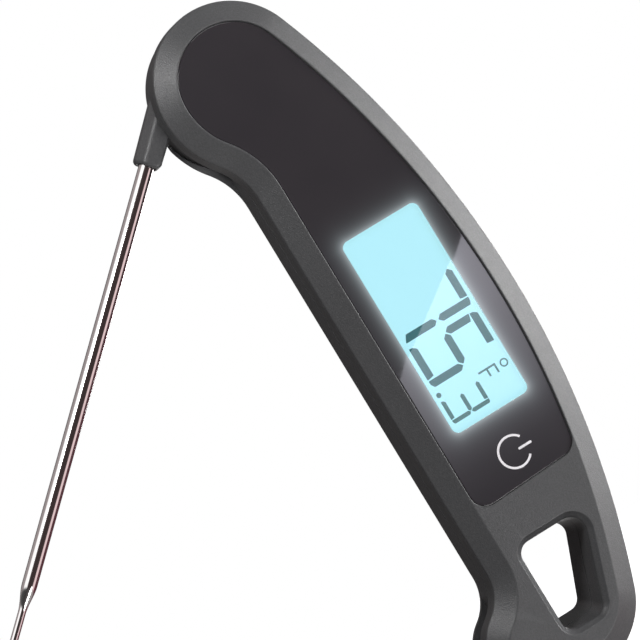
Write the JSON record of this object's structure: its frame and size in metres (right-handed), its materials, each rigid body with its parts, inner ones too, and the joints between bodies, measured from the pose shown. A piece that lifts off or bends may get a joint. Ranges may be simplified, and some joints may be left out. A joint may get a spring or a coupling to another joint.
{
  "type": "meat thermometer",
  "caption": "Folding digital cooking thermometer: slim leaf-shaped body with a lit display, hanging hole, thin steel probe that swings out on a round hub, and a twist-off battery door.",
  "frame": {"origin": "on the flat rear face, 75 mm straight below the axis of the probe hub, at the centre of the magnet pad", "axes": "+Z from the hanging-hole end towards the hub end, +Y out of the rear face, -Y out of the display, +X from the side where the probe folds in towards the bulged side"},
  "size_m": [0.1333, 0.018, 0.1632],
  "materials": {
    "housing_plastic": "charcoal moulded plastic with a fine even grain",
    "panel_plastic": "smoked glossy window, printed near-black from behind around the display",
    "adhesive": "black double-sided foam tape",
    "lcd_glass": "backlit pale cyan liquid-crystal glass",
    "light_guide": "milky clear acrylic with a dot pattern",
    "led_package": "white moulded body with a pale yellow lens",
    "white_plastic": "white moulded plastic",
    "elastomer": "black silicone rubber",
    "zebra": "grey silicone with fine conductive layers",
    "board": "green solder mask over glass-epoxy board",
    "chip": "black epoxy chip package",
    "copper": "gold-flashed copper",
    "spring_metal": "nickel-plated spring brass",
    "battery_metal": "nickel-plated steel can with an insulating seal ring",
    "screw_metal": "black zinc-plated steel",
    "magnet_metal": "nickel-plated magnet",
    "steel": "machined stainless steel",
    "spring_steel": "hardened spring steel",
    "probe_steel": "polished stainless steel tube",
    "label_film": "grey satin film, blank",
    "sensor_ceramic": "brown glass-coated thermistor bead",
    "cable_jacket": "dark red insulated pair",
    "lead_insulation": "pale varnished lead pair"
  },
  "bodies": {
    "body": {"front_housing": "housing_plastic", "rear_housing": "housing_plastic", "housing_gasket": "elastomer", "display_lens": "panel_plastic", "lens_adhesive": "adhesive", "lcd_glass": "lcd_glass", "light_guide": "light_guide", "backlight_led": "led_package", "lcd_frame": "white_plastic", "zebra_strip": "zebra", "main_board": "board", "controller_chip": "chip", "motion_sensor": "chip", "hall_sensor": "chip", "touch_electrode": "copper", "touch_contact": "spring_metal", "battery_tray": "white_plastic", "battery_cell": "battery_metal", "battery_contact_positive": "spring_metal", "battery_contact_negative": "spring_metal", "housing_screw_1": "screw_metal", "housing_screw_2": "screw_metal", "housing_screw_3": "screw_metal", "housing_screw_4": "screw_metal", "magnet_upper": "magnet_metal", "magnet_lower": "magnet_metal", "rear_label": "label_film", "pivot_spindle": "steel", "spindle_clip": "spring_steel", "wave_washer": "spring_steel", "sensor_cable": "cable_jacket"},
    "probe": {"probe_hub": "housing_plastic", "hub_cap": "housing_plastic", "hub_magnet": "magnet_metal", "hub_oring": "elastomer", "probe_tube": "probe_steel", "tube_anchor": "steel", "sensor_bead": "sensor_ceramic", "probe_leads": "lead_insulation"},
    "door": {"battery_door": "housing_plastic", "door_oring": "elastomer"}
  },
  "joints": [
    {"name": "probe_fold", "type": "hinge", "parent": "body", "child": "probe", "pos_m": [0, -0.007, 0.075], "axis": [0, 1, 0], "range_deg": [-47.3, 132.7]},
    {"name": "battery_door_turn", "type": "hinge", "parent": "body", "child": "door", "pos_m": [0.011, -0.002, 0.023], "axis": [0, 1, 0], "range_deg": [0, 60]}
  ]
}
